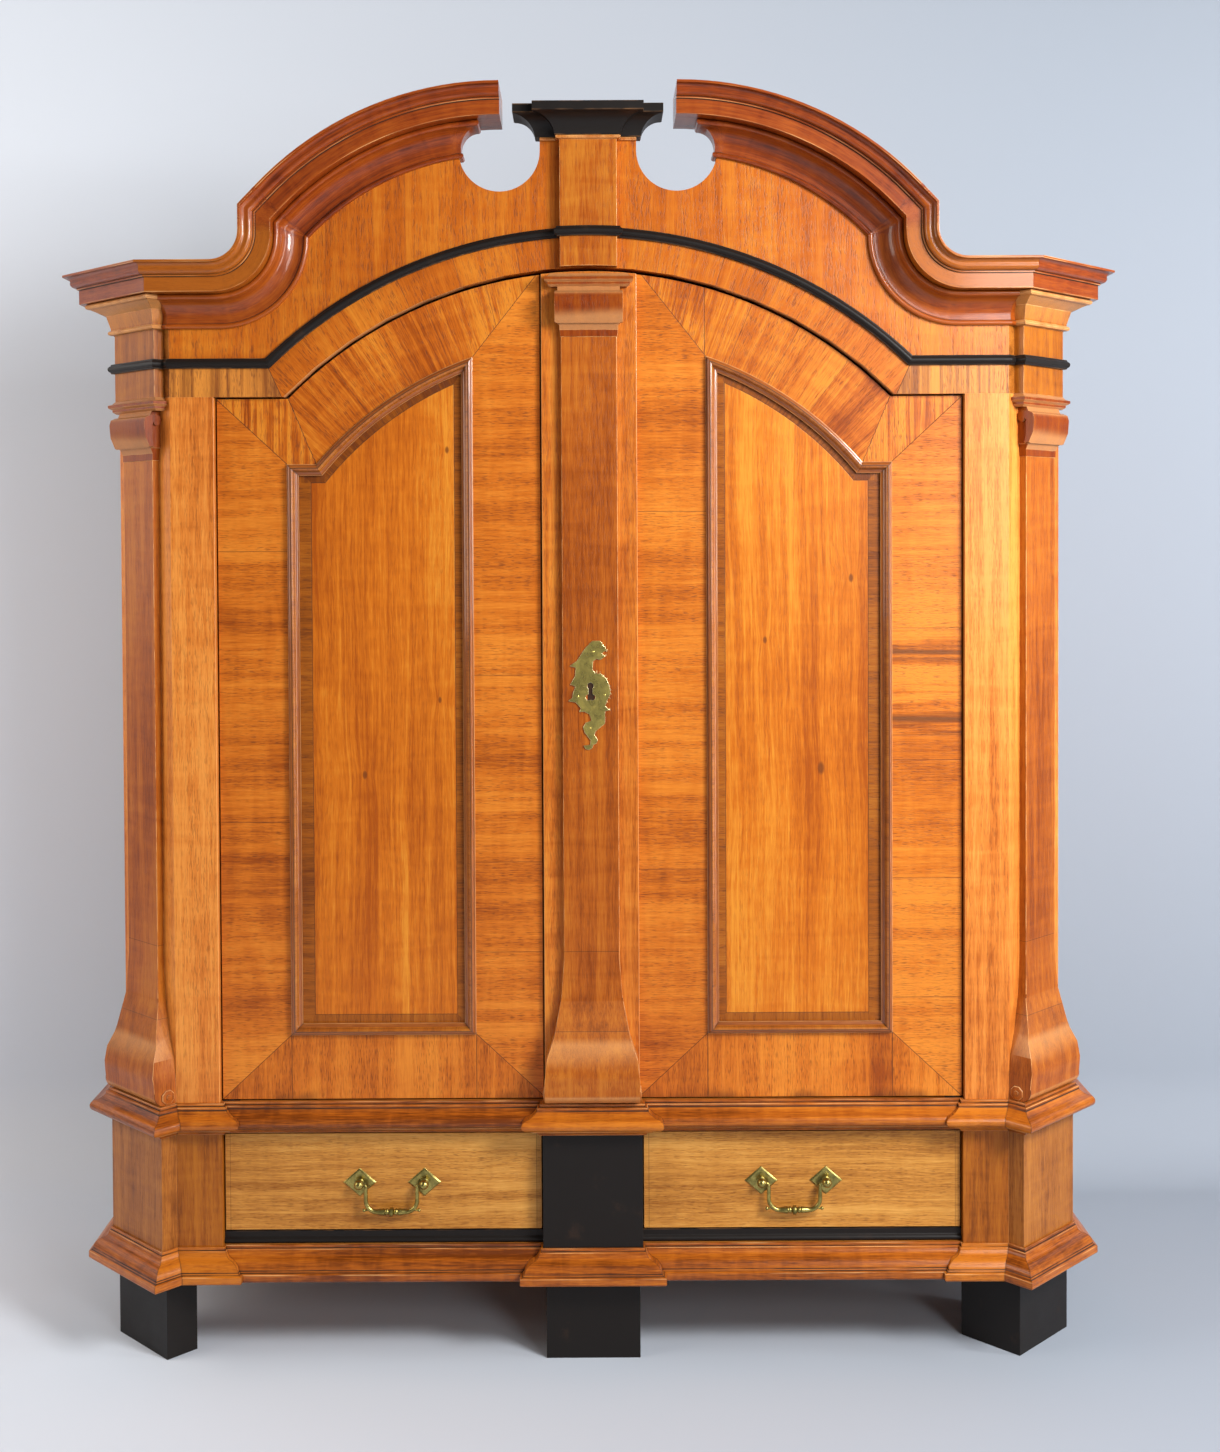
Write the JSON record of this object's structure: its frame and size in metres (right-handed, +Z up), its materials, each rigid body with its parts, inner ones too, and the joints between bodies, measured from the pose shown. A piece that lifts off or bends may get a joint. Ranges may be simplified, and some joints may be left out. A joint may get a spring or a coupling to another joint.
{
  "type": "kas cupboard",
  "caption": "Tall octagonal-cornered two-door cupboard on a base with two drawers, with scrolled pilasters, arched panels and a broken curved pediment.",
  "frame": {"origin": "centre of the plan's bounding box, at the floor under the feet", "axes": "+Z up, -Y towards the front, +X to the viewer's right"},
  "size_m": [1.975, 0.695, 2.3224],
  "materials": {
    "walnut_veneer": "figured walnut veneer, french polished",
    "solid_walnut": "solid walnut mouldings and turnings, french polished",
    "ebonised_wood": "black stained and polished",
    "plain_softwood": "planed, unpolished",
    "aged_brass": "cast, bright on the high parts",
    "blackened_iron": "forged, oiled"
  },
  "bodies": {
    "carcass": {"back_boards": "plain_softwood", "base_case": "walnut_veneer", "base_corner_blocks": "walnut_veneer", "base_moulding_front": "solid_walnut", "base_moulding_left": "solid_walnut", "base_moulding_right": "solid_walnut", "base_posts": "walnut_veneer", "base_sides": "walnut_veneer", "centre_foot": "ebonised_wood", "centre_plinth_block": "ebonised_wood", "corner_capitals": "solid_walnut", "corner_foot_left": "ebonised_wood", "corner_foot_right": "ebonised_wood", "corner_pilaster_left": "solid_walnut", "corner_pilaster_right": "solid_walnut", "corner_post_left": "walnut_veneer", "corner_post_right": "walnut_veneer", "cornice_left": "solid_walnut", "cornice_return_left": "solid_walnut", "cornice_return_right": "solid_walnut", "cornice_right": "solid_walnut", "cupboard_floor": "walnut_veneer", "drawer_beads": "ebonised_wood", "drawer_partition": "plain_softwood", "frieze_band": "ebonised_wood", "frieze_blocks": "solid_walnut", "frieze_board": "walnut_veneer", "hinge_plates": "blackened_iron", "hood_case": "walnut_veneer", "keystone_block": "solid_walnut", "keystone_cap": "ebonised_wood", "rear_feet": "ebonised_wood", "shelves": "plain_softwood", "side_frames": "walnut_veneer", "side_panels": "walnut_veneer", "waist_moulding_front": "solid_walnut", "waist_moulding_left": "solid_walnut", "waist_moulding_right": "solid_walnut"},
    "left_door": {"left_door_frame": "walnut_veneer", "left_door_panel": "walnut_veneer", "left_panel_moulding": "solid_walnut", "left_hinge_pins": "blackened_iron"},
    "right_door": {"right_door_frame": "walnut_veneer", "right_door_panel": "walnut_veneer", "right_panel_moulding": "solid_walnut", "right_hinge_pins": "blackened_iron", "closing_strip": "walnut_veneer", "centre_pilaster": "solid_walnut", "centre_capital": "solid_walnut", "escutcheon": "aged_brass", "lock_case": "blackened_iron"},
    "lock_bolt": {"lock_bolt": "blackened_iron"},
    "left_drawer": {"left_drawer_front": "walnut_veneer", "left_drawer_box": "plain_softwood", "left_handle_posts": "aged_brass"},
    "left_bail": {"left_bail": "aged_brass"},
    "right_drawer": {"right_drawer_front": "walnut_veneer", "right_drawer_box": "plain_softwood", "right_handle_posts": "aged_brass"},
    "right_bail": {"right_bail": "aged_brass"}
  },
  "joints": [
    {"name": "left_door_hinge", "type": "hinge", "parent": "carcass", "child": "left_door", "pos_m": [-0.669, -0.2315, 1.123], "axis": [0, 0, -1], "range_deg": [0, 105]},
    {"name": "right_door_hinge", "type": "hinge", "parent": "carcass", "child": "right_door", "pos_m": [0.669, -0.2315, 1.123], "axis": [0, 0, 1], "range_deg": [0, 105]},
    {"name": "bolt_slide", "type": "slide", "parent": "right_door", "child": "lock_bolt", "axis": [-1, 0, 0], "range_m": [0, 0.018]},
    {"name": "left_drawer_slide", "type": "slide", "parent": "carcass", "child": "left_drawer", "axis": [0, -1, 0], "range_m": [0, 0.38]},
    {"name": "left_bail_hinge", "type": "hinge", "parent": "left_drawer", "child": "left_bail", "pos_m": [-0.372, -0.255, 0.32], "axis": [-1, 0, 0], "range_deg": [0, 90]},
    {"name": "right_drawer_slide", "type": "slide", "parent": "carcass", "child": "right_drawer", "axis": [0, -1, 0], "range_m": [0, 0.38]},
    {"name": "right_bail_hinge", "type": "hinge", "parent": "right_drawer", "child": "right_bail", "pos_m": [0.372, -0.255, 0.32], "axis": [-1, 0, 0], "range_deg": [0, 90]}
  ]
}
